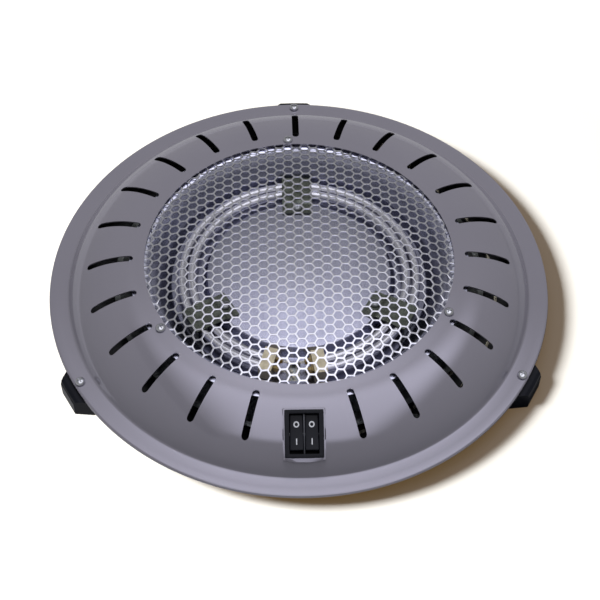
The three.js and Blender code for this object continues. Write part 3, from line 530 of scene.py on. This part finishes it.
# The sheet round one hexagonal hole; neighbours share the corners along the middle of a web.
def addCell(grid, shared, x, y):
    def corner(dx, dy, lift):
        return grid.verts.new((x + dx, y + dy, grilleHeight(math.hypot(x + dx, y + dy)) + lift))

    directions = [(math.cos(math.radians(60 * i)), math.sin(math.radians(60 * i))) for i in range(6)]
    cell = grille["pitch"] / math.sqrt(3)
    hole = (grille["pitch"] - grille["web"]) / math.sqrt(3)
    clip = grille["corner"]
    webs, edges = [], []
    for i, (dx, dy) in enumerate(directions):
        key = (round(x + cell * dx, 2), round(y + cell * dy, 2))
        if key not in shared:
            shared[key] = corner(cell * dx, cell * dy, grille["webMiddle"])
        webs.append(shared[key])
        for ox, oy in (directions[i - 1], directions[(i + 1) % 6]):
            ex, ey = dx + (ox - dx) * clip, dy + (oy - dy) * clip
            edges.append(corner(hole * ex, hole * ey, grille["webEdge"]))
    for i in range(6):
        j = (i + 1) % 6
        grid.faces.new((webs[i], webs[j], edges[2 * j], edges[2 * i + 1]))
        grid.faces.new((webs[i], edges[2 * i + 1], edges[2 * i]))


# The holes stand in columns, every other one half a pitch further on.
def makeGrille():
    grid = bmesh.new()
    shared = {}
    column = grille["pitch"] * math.sqrt(3) / 2
    count = int(grille["meshOuter"] / column) + 1
    for c in range(-count, count + 1):
        for row in range(-count, count + 1):
            x, y = c * column, (row + 0.5 * (c % 2)) * grille["pitch"]
            if math.hypot(x, y) <= grille["meshOuter"] - grille["pitch"] / 2:
                addCell(grid, shared, x, y)
    net = fromBmesh("grille_perforated", grid, turned(0))
    thick = net.modifiers.new("sheet", "SOLIDIFY")
    thick.thickness = grille["sheet"] * millimetre
    thick.offset = -1  # downwards
    smooth(settled(net), 40)
    finished(net, "grilleNickel", replacing=["grille"])


makeGrille()
print("grille")


# Two nearly closed rings of sheathed tube, a pitch apart. Their sizes come before the reflector, which holds
# them.

element = {
    "middle": 81, "pitch": 7.4, "diameter": 6.2, "height": 24, "gapBearing": 184, "halfGap": 12.5,
    "steps": 180, "corners": 20}


# The pressed reflector: a dish inside a trough for the elements, and a flared wall. A rest under each clamp
# carries the tubes, and the leads come up through a passage in the gap between the tubes' ends.

bowl = {
    "sheet": 0.8, "dishCentre": 27.8, "dishEdge": 24.9, "dish": 66, "dishSteps": 8,
    "troughInner": 69.5, "troughOuter": 92.5, "floor": 17, "bend": 1.2,
    "wallFoot": 96, "wallFootHeight": 24, "wallTop": 109, "wallSteps": 5,
    "rollInner": 1.5, "rollOuter": 4.5, "roll": 8, "rimRise": 0.35, "outer": 121,
    "passage": (9, 16), "passageCorner": 2, "rest": (10, 14), "restCorner": 1.5}
bowlTop = grilleTop - grille["room"] - gap


def dishHeight(radius):
    return bowl["dishCentre"] + (bowl["dishEdge"] - bowl["dishCentre"]) * (radius / bowl["dish"]) ** 2


# The wall flares as a parabola up to the rolled top; its last step but one is left out to make room for that.
def wallLine():
    foot, top, steps = bowl["wallFoot"], bowl["wallTop"] - bowl["rollInner"], bowl["wallSteps"]
    line = []
    for i in [*range(steps - 1), steps]:
        radius = foot + (top - foot) * i / steps
        share = (radius ** 2 - foot ** 2) / (top ** 2 - foot ** 2)
        height = bowl["wallFootHeight"] + (bowlTop - bowl["wallFootHeight"]) * share
        line.append((radius, height, bowl["roll"] if i == steps else bowl["bend"]))
    return line


def makeReflector():
    radii = [bowl["dish"] * i / bowl["dishSteps"] for i in range(bowl["dishSteps"] + 1)]
    line = [(radius, dishHeight(radius)) for radius in radii]
    line += [(bowl["troughInner"], bowl["floor"]), (bowl["troughOuter"], bowl["floor"])] + wallLine()
    line += [(bowl["wallTop"] + bowl["rollOuter"], bowlTop + bowl["rimRise"]), (bowl["outer"], bowlTop)]
    outline = sheetOutline(rounded(line, bowl["bend"]), bowl["sheet"])
    shell = lathe("reflector_pressed", outline, around, turned(0))
    low, high = bowl["floor"] - bowl["sheet"] / 2, element["height"] - element["diameter"] / 2 - gap
    rest = rectangle(*bowl["rest"], bowl["restCorner"])
    places = [turned(bearing, element["middle"]) for bearing in sides.values()]
    combine(shell, [prism("rest", rest, low, high, place) for place in places], "UNION")
    passage = rectangle(*bowl["passage"], bowl["passageCorner"])
    tools = [prism("passage", passage, *throughAll, turned(element["gapBearing"], element["middle"]))]
    combine(shell, tools + screwHoles("clamp") + screwHoles("grille"))
    smooth(shell)
    finished(shell, "brightAluminium", replacing=["reflector"])


makeReflector()
print("reflector")


# A tube along its nearly closed ring, with flat ends.
def makeElement(which, radius):
    r, corners = element["diameter"] / 2, element["corners"]
    start = element["gapBearing"] + element["halfGap"]
    sweep = 360 - 2 * element["halfGap"]
    loops = []
    for i in range(element["steps"] + 1):
        a = math.radians(start + sweep * i / element["steps"])
        loop = []
        for b in (2 * math.pi * k / corners for k in range(corners)):
            out = radius + r * math.cos(b)
            loop.append((out * math.sin(a), out * math.cos(a), element["height"] + r * math.sin(b)))
        loops.append(loop)
    tube = skinned("element_sheath_" + which, loops, turned(0))
    smooth(tube, 50)
    finished(tube, "stainless", replacing=["element_" + which])


makeElement("outer", element["middle"] + element["pitch"] / 2)
makeElement("inner", element["middle"] - element["pitch"] / 2)
print("elements")


# The heat shield lies below the reflector; its rim is notched to clear the switch.

shield = {
    "sheet": 0.6, "floor": 12, "flat": 118, "bend": 2, "outer": 133, "rim": 21.6, "rimWidth": 4,
    "notchWidth": 64, "notchInner": 116}


def makeShield():
    top = shield["floor"] + shield["sheet"]
    rimInner = shield["outer"] - shield["rimWidth"]
    line = [(0, top), (shield["flat"], top), (rimInner, shield["rim"]), (shield["outer"], shield["rim"])]
    outline = sheetOutline(rounded(line, shield["bend"]), shield["sheet"])
    plate = lathe("heat_shield_pressed", outline, around, turned(0))
    deep = shield["outer"]
    place = turned(180, shield["notchInner"] + deep / 2)
    notch = prism("notch", rectangle(shield["notchWidth"], deep), top + gap, throughAll[1], place)
    combine(plate, [notch] + screwHoles("shield"))
    smooth(plate)
    finished(plate, "galvanised", replacing=["heat_shield"])


# The base pan closes the underside, with slots for air and a hole for the cord's bush.

pan = {
    "sheet": 0.8, "floor": 6, "flat": 158, "bend": 1.5, "wall": 164, "outer": 177.5,
    "vents": 12, "ventWidth": 5, "ventInner": 56, "ventOuter": 78,
    "bushBearing": 18, "bushHeight": 11, "bushHole": 3.8, "bushInner": 150, "bushReach": 25}


def makePan():
    top = pan["floor"] + pan["sheet"]
    seat = foldHeight - ring["sheet"] - gap
    line = [(0, top), (pan["flat"], top), (pan["wall"], seat), (pan["outer"], seat)]
    outline = sheetOutline(rounded(line, pan["bend"]), pan["sheet"])
    plate = lathe("base_pan_pressed", outline, around, turned(0))
    vent = slotOutline(pan["ventInner"], pan["ventOuter"], pan["ventWidth"])
    bearings = [360 * i / pan["vents"] for i in range(pan["vents"])]
    tools = [prism("vent", vent, *throughAll, turned(bearing)) for bearing in bearings]
    bush = turned(pan["bushBearing"], pan["bushInner"], pan["bushHeight"])
    outwards = Matrix.Rotation(-math.pi / 2, 4, "X")
    tools.append(prism("bush", circle(pan["bushHole"]), 0, pan["bushReach"], bush @ outwards))
    combine(plate, tools + screwHoles("rim") + screwHoles("shield"))
    smooth(plate)
    finished(plate, "blackEnamel", replacing=["base_pan"])


makeShield()
makePan()
print("shield and pan")


# The twin rocker switch, built in the frame of its pad.

switch = {
    "bezel": (25.7, 31.6), "bezelCorner": 0.7, "bezelHeight": 2.0, "bezelEdge": 0.45,
    "body": (21.8, 28), "bodyCorner": 0.8, "depth": 17,
    "well": (19.4, 26.4), "wellCorner": 0.5, "wellDepth": 9.6,
    "divider": 0.8, "dividerTop": 1.2, "dividerEdge": 0.15,
    "dividerEnd": 0.2, "dividerFoot": 0.05}  # how far it is let into the well's ends and floor

# Each rocker tips about a pin that lies below the pad. Its face dips between its two ends, which reach above
# the pad when it is level, and carries a printed O and I.
rocker = {
    "side": {"left": -1, "right": 1},
    "middle": 5.05, "pivot": 4, "tilt": 11, "width": 8.7, "length": 24, "foot": 14, "depth": 8, "edge": 0.5,
    "top": 1.7, "dip": 0.9, "dipCurve": 1.5, "faceSteps": 20,
    "ink": (-0.05, 0.03),  # from just inside the face to just above it
    "ringRadii": (1.1, 1.9), "ringStretch": 1.1, "ringMiddle": 5.4, "ringSteps": 28,
    "bar": (0.65, 4.3), "barMiddle": -6.2, "barSteps": 6}


def makeHousing():
    high = gap + switch["bezelHeight"]
    shell = prism("switch_bezel", rectangle(*switch["bezel"], switch["bezelCorner"]), gap, high, padFrame)
    body = rectangle(*switch["body"], switch["bodyCorner"])
    combine(shell, [prism("body", body, -switch["depth"], switch["bezelHeight"] / 2, padFrame)], "UNION")
    well = rectangle(*switch["well"], switch["wellCorner"])
    combine(shell, [prism("well", well, -switch["wellDepth"], pad["reach"], padFrame)])
    softened(shell, switch["bezelEdge"], 3)
    finished(shell, "blackPlastic", replacing=["switch_housing"])
    strip = rectangle(switch["divider"], switch["well"][1] + 2 * switch["dividerEnd"])
    low = -switch["wellDepth"] - switch["dividerFoot"]
    divider = prism("switch_divider", strip, low, switch["dividerTop"], padFrame)
    softened(divider, switch["dividerEdge"], 2)
    finished(divider, "greyPlastic")


# A rocker at rest is tipped to its O.
def rockerFrame(which):
    pin = Matrix.Translation((rocker["side"][which] * rocker["middle"], 0, -rocker["pivot"]))
    return padFrame @ pin @ Matrix.Rotation(-math.radians(rocker["tilt"]), 4, "X")


# Height of a rocker's upper face above its pin.
def rockerTop(y):
    share = min(abs(y) / (rocker["length"] / 2), 1)
    return rocker["top"] + rocker["pivot"] - rocker["dip"] * (1 - share ** rocker["dipCurve"])


def makeRocker(which):
    end, foot, half = rocker["length"] / 2, rocker["foot"] / 2, rocker["width"] / 2
    low = rocker["pivot"] - rocker["depth"]
    steps = rocker["faceSteps"]
    face = [(y, rockerTop(y)) for y in (end - 2 * end * i / steps for i in range(steps + 1))]
    line = [(-foot, low), (foot, low), (end, 0)] + face + [(-end, 0)]
    loops = [[(x, y, z) for y, z in line] for x in (-half, half)]
    cap = skinned("rocker_cap_" + which, loops, rockerFrame(which))
    softened(cap, rocker["edge"], 3)
    finished(cap, "blackPlastic", "rocker_" + which, ["rocker_" + which])
    makeRingMark(which)
    makeBarMark(which)


# A thin print that follows the rocker's face.
def printed(mark, which, points, faces):
    grid = bmesh.new()
    layers = [[(x, y, rockerTop(y) + lift) for x, y in points] for lift in rocker["ink"]]
    lower, upper = ([grid.verts.new(corner) for corner in layer] for layer in layers)
    borders = {}
    for face in faces:
        grid.faces.new([upper[i] for i in face])
        grid.faces.new([lower[i] for i in reversed(face)])
        for a, b in zip(face, face[1:] + face[:1]):
            key = (min(a, b), max(a, b))
            borders[key] = borders.get(key, 0) + 1
    for (a, b), count in borders.items():
        if count == 1:
            grid.faces.new((lower[a], lower[b], upper[b], upper[a]))
    bmesh.ops.recalc_face_normals(grid, faces=grid.faces)
    finished(fromBmesh(mark + "_" + which, grid, rockerFrame(which)), "whiteInk", "rocker_" + which)


def makeRingMark(which):
    steps = rocker["ringSteps"]
    points = []
    for radius in rocker["ringRadii"]:
        tall = radius * rocker["ringStretch"]
        for a in (2 * math.pi * i / steps for i in range(steps)):
            points.append((radius * math.cos(a), rocker["ringMiddle"] + tall * math.sin(a)))
    faces = [[i, (i + 1) % steps, steps + (i + 1) % steps, steps + i] for i in range(steps)]
    printed("mark_off", which, points, faces)


def makeBarMark(which):
    width, length = rocker["bar"]
    steps = rocker["barSteps"]
    points = []
    for i in range(steps + 1):
        y = rocker["barMiddle"] - length / 2 + length * i / steps
        points += [(-width / 2, y), (width / 2, y)]
    faces = [[2 * i, 2 * i + 1, 2 * i + 3, 2 * i + 2] for i in range(steps)]
    printed("mark_on", which, points, faces)


makeHousing()
for which in rocker["side"]:
    makeRocker(which)
print("switch")


# Every screw has the same shape and differs in length and plating.

screw = {
    "shank": 1.95, "tip": (0.4, 0.5), "head": 3.5, "height": 2.6, "undercut": 0.1, "edge": 0.15,
    "skirt": 0.55, "domeSteps": 8, "fullness": 0.75,  # below 1, the head is fuller than a round one
    "recess": (0.9, 4.2, 1.3), "corners": 32}
clamp = {"lift": 0.7, "sheet": 1}  # the clamp's foot above the dish, and its thickness

clampSeat = dishHeight(screwCircles["clamp"][0]) + clamp["lift"] + clamp["sheet"] + gap
overturned = Matrix.Rotation(math.pi, 4, "X")  # the shield's screws come from below
screwKinds = {
    "rim": {"seat": ring["flange"] + gap, "depth": 12, "plating": "chrome"},
    "grille": {"seat": crestHeight + gap, "depth": 7.3, "plating": "chrome"},
    "clamp": {"seat": clampSeat, "depth": clampSeat - bowl["floor"], "plating": "zinc"},
    "shield": {"seat": pan["floor"] - gap, "depth": 10, "plating": "zinc", "attitude": overturned}}


# A pan head with a cross recess; its seat is at the place's origin and its head points along +Z.
def makeScrew(kind, side, place, depth, plating):
    shank, head, tall = screw["shank"], screw["head"], screw["height"]
    inwards, long = screw["tip"]
    outline = [(0, -depth), (shank - inwards, -depth), (shank, -depth + long), (shank, 0)]
    outline += [(head - screw["undercut"], 0), (head, screw["edge"])]
    for i in range(screw["domeSteps"] + 1):
        a = math.radians(90 * i / screw["domeSteps"])
        rise = (tall - screw["skirt"]) * math.sin(a)
        outline.append((head * math.cos(a) ** screw["fullness"], screw["skirt"] + rise))
    body = lathe(kind + "_screw_head_" + side, outline, screw["corners"], place)
    width, length, deep = screw["recess"]
    for bar in (rectangle(width, length), rectangle(length, width)):
        combine(body, [prism("cross", bar, tall - deep, tall + 1, place)])
    smooth(body, 38)
    finished(body, plating, replacing=[kind + "_screw_" + side])


def makeScrews():
    for side, bearing in sides.items():
        for kind, made in screwKinds.items():
            radius, turn = screwCircles[kind]
            place = turned(bearing + turn, radius, made["seat"]) @ made.get("attitude", Matrix())
            makeScrew(kind, side, place, made["depth"], made["plating"])


makeScrews()
print("screws")


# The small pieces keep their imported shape. Each kind gets a material and edges softened by so much, and
# the leads are rounded instead.

kept = {
    "foot": ("blackPlastic", 0.8), "element_clamp": ("blotchySteel", 0.2), "grille_nut": ("zinc", 0.15),
    "shield_nut": ("zinc", 0.15), "shield_spacer": ("zinc", 0.1), "end_block": ("steatite", 0.4),
    "terminal_pin": ("brass", 0.15), "neutral_link": ("brass", 0.1), "switch_blade": ("brass", 0.1),
    "switch_common_bar": ("brass", 0.1), "rocker_pin": ("zinc", 0.1), "supply_block": ("steatite", 0.4),
    "thermal_cutout": ("galvanised", 0.2), "cord_bush": ("rubber", 0.3), "lead": ("glassSleeve", 0.0)}


def dressPacked():
    for name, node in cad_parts.items():
        family = next((key for key in kept if name.startswith(key)), None)
        if node.hide_render or family is None:
            continue
        material, edge = kept[family]
        node.data.materials.clear()
        node.data.materials.append(materials[material])
        if edge:
            bevelled(node, edge)
        else:
            node.modifiers.new("round", "SUBSURF").render_levels = 1


dressPacked()
print("kept pieces")


# Floor, studio and lamps, in metres.

def emptyTree(holder):
    holder.use_nodes = True
    holder.node_tree.nodes.clear()
    return holder.node_tree


def flatObject(name, width, length):
    mesh = bpy.data.meshes.new(name)
    mesh.from_pydata([(x, y, 0) for x, y in rectangle(width, length)], [], [(0, 1, 2, 3)])
    return objectOf(name, mesh)


# Matte paper that takes the shadow. It glows for the camera alone: faint and warm near the heater, and white
# far from it.
paper = {"size": 8.0, "colour": "6c6c6a", "reflected": "454546", "glow": "594424", "white": "ffffff",
         "whiteFrom": 0.3, "whiteTo": 1.0}


def makeFloor():
    floor = flatObject("floor", paper["size"], paper["size"])
    material = bpy.data.materials.new("paper, matte white")
    tree = emptyTree(material)
    ray = addNode(tree, "LightPath")
    shade = addNode(tree, "Mix", {"data_type": "RGBA"}, Factor=ray.outputs["Is Glossy Ray"],
                    A=linear(paper["colour"]), B=linear(paper["reflected"]))
    matte = addNode(tree, "BsdfDiffuse", Color=shade.outputs["Result"])
    position = addNode(tree, "NewGeometry").outputs["Position"]
    distance = addNode(tree, "VectorMath", {"operation": "LENGTH"}, (position,))
    far = addNode(tree, "MapRange", Value=distance.outputs["Value"],
                  From_Min=paper["whiteFrom"], From_Max=paper["whiteTo"])
    tone = addNode(tree, "Mix", {"data_type": "RGBA"}, Factor=far.outputs["Result"],
                   A=linear(paper["glow"]), B=linear(paper["white"]))
    glow = addNode(tree, "Emission", Color=tone.outputs["Result"], Strength=ray.outputs["Is Camera Ray"])
    both = addNode(tree, "AddShader", None, (matte.outputs[0], glow.outputs[0]))
    addNode(tree, "OutputMaterial", Surface=both.outputs[0])
    floor.data.materials.append(material)
    return floor


# A lamp overhead, far larger than the heater: the light that the lacquer and the bright sheets mirror.
softbox = {
    "size": (2.5, 2.94), "place": (0.2, -0.11, 1.8), "turn": -8, "power": 42, "colour": (0.9, 0.9, 1.0),
    "nearStrength": 0.6,  # against 1 at the far edge
    "slant": 0.04,  # of the near and the far edge
    "edges": {"left": 0.33, "right": 0.33, "near": 0.14, "far": 0.32}}  # shares of its size that fade out

# A grey card beside the softbox, seen only in reflections.
card = {"size": (0.34, 2.5), "place": (-1.17, -0.35, 1.78), "grey": 0.25}


def makeCard():
    flat = flatObject("card", *card["size"])
    turn = Matrix.Rotation(math.radians(softbox["turn"]), 4, "Z")
    flat.matrix_world = Matrix.Translation(card["place"]) @ turn
    for ray in ("camera", "diffuse", "transmission", "shadow", "volume_scatter"):
        setattr(flat, "visible_" + ray, False)
    material = bpy.data.materials.new("card, grey")
    tree = emptyTree(material)
    glow = addNode(tree, "Emission", Strength=card["grey"])
    addNode(tree, "OutputMaterial", Surface=glow.outputs[0])
    flat.data.materials.append(material)


# White to the camera, a pale grey studio in reflections, and a weak fill on matt surfaces.
sky = {"reflected": 0.35, "light": 0.25}


def makeWorld():
    world = bpy.data.worlds.new("studio")
    bpy.context.scene.world = world
    tree = emptyTree(world)
    ray = addNode(tree, "LightPath")
    studio = addNode(tree, "Math", {"operation": "MULTIPLY_ADD"},
                     (ray.outputs["Is Glossy Ray"], sky["reflected"] - sky["light"], sky["light"]))
    strength = addNode(tree, "Math", {"operation": "MAXIMUM"},
                       (ray.outputs["Is Camera Ray"], studio.outputs[0]))
    shown = addNode(tree, "Background", Color=(1, 1, 1, 1), Strength=strength.outputs[0])
    addNode(tree, "OutputWorld", Surface=shown.outputs[0])


def makeLamp(name, size, power, colour, place, turn):
    light = bpy.data.lights.new(name, "AREA")
    light.shape = "RECTANGLE"
    light.size, light.size_y = size
    light.energy = power
    light.color = colour
    lamp = objectOf(name, light)
    lamp.matrix_world = Matrix.Translation(place) @ turn
    return lamp


# The softbox fades out at its edges and is weaker towards the camera.
def makeSoftbox():
    turn = Matrix.Rotation(math.radians(softbox["turn"]), 4, "Z")
    lamp = makeLamp("overhead", softbox["size"], softbox["power"], softbox["colour"], softbox["place"], turn)
    tree = emptyTree(lamp.data)
    across = addNode(tree, "SeparateXYZ", Vector=addNode(tree, "NewGeometry").outputs["Parametric"])
    x, y = across.outputs["X"], across.outputs["Y"]
    slanted = addNode(tree, "Math", {"operation": "MULTIPLY_ADD"}, (x, -softbox["slant"], y)).outputs[0]
    fade = addNode(tree, "MapRange", Value=y, To_Min=softbox["nearStrength"], To_Max=1.0).outputs["Result"]
    edges = softbox["edges"]
    for place, start, width in ((x, 0, edges["left"]), (x, 1, edges["right"]),
                                (slanted, 0, edges["near"]), (slanted, 1, edges["far"])):
        edge = addNode(tree, "MapRange", {"interpolation_type": "SMOOTHSTEP"}, Value=place,
                       From_Min=start, From_Max=abs(start - width))
        fade = addNode(tree, "Math", {"operation": "MULTIPLY"}, (fade, edge.outputs["Result"])).outputs[0]
    glow = addNode(tree, "Emission", Strength=fade)
    addNode(tree, "OutputLight", Surface=glow.outputs[0])


# Two lamps that no reflection shows: one leaves the floor out, and one lights only the floor.
keys = {
    "distance": 4, "size": (1.2, 1.2),
    "key": {"bearing": 0, "height": 60, "power": 140, "colour": (1, 0.98, 0.96), "floor": "EXCLUDE"},
    "floor key": {"bearing": -97, "height": 44, "power": 1660, "colour": (1, 1, 1), "floor": "INCLUDE"}}


def makeKey(name, floor):
    key, d = keys[name], keys["distance"]
    a, e = math.radians(key["bearing"]), math.radians(key["height"])
    place = Vector((d * math.cos(e) * math.sin(a), d * math.cos(e) * math.cos(a), d * math.sin(e)))
    aim = place.to_track_quat("Z", "Y").to_matrix().to_4x4()
    lamp = makeLamp(name, keys["size"], key["power"], key["colour"], place, aim)
    lamp.visible_glossy = False
    group = bpy.data.collections.new(name)
    group.objects.link(floor)
    group.collection_objects[0].light_linking.link_state = key["floor"]
    lamp.light_linking.receiver_collection = group


floor = makeFloor()
makeCard()
makeWorld()
makeKey("key", floor)
makeKey("floor key", floor)
makeSoftbox()


# Solved from the photograph: its place in rim radii, with the flange's top at height 0, and its focal
# length in pixels of a frame 600 wide.
camera = {
    "focal": 1400.49, "frame": 600, "distance": 5.6478, "elevation": 52.277, "bearing": -1.871,
    "roll": -0.6853, "right": -0.00508, "up": 0.08435, "sensor": 36, "clip": (0.05, 50)}


def makeCamera():
    e, roll = math.radians(camera["elevation"]), math.radians(camera["roll"])
    ahead = Vector((0, math.cos(e), -math.sin(e)))
    up = Vector((0, math.sin(e), math.cos(e)))
    right = Vector((1, 0, 0))
    place = -camera["distance"] * ahead - camera["right"] * right - camera["up"] * up
    rolledRight = right * math.cos(roll) - up * math.sin(roll)
    rolledUp = right * math.sin(roll) + up * math.cos(roll)
    basis = Matrix((rolledRight, rolledUp, -ahead)).transposed().to_4x4()
    spin = Matrix.Rotation(math.radians(camera["bearing"]), 4, "Z")
    base = Matrix.Translation((0, axisY * millimetre, ring["flange"] * millimetre))
    data = bpy.data.cameras.new("camera")
    data.sensor_width = camera["sensor"]
    data.lens = camera["sensor"] * camera["focal"] / camera["frame"]
    data.clip_start, data.clip_end = camera["clip"]
    eye = objectOf("camera", data)
    eye.matrix_world = base @ spin @ Matrix.Translation(place * (ring["rim"] * millimetre)) @ basis
    bpy.context.scene.camera = eye


makeCamera()
bpy.context.scene.view_settings.view_transform = "Standard"
print("stage and camera")
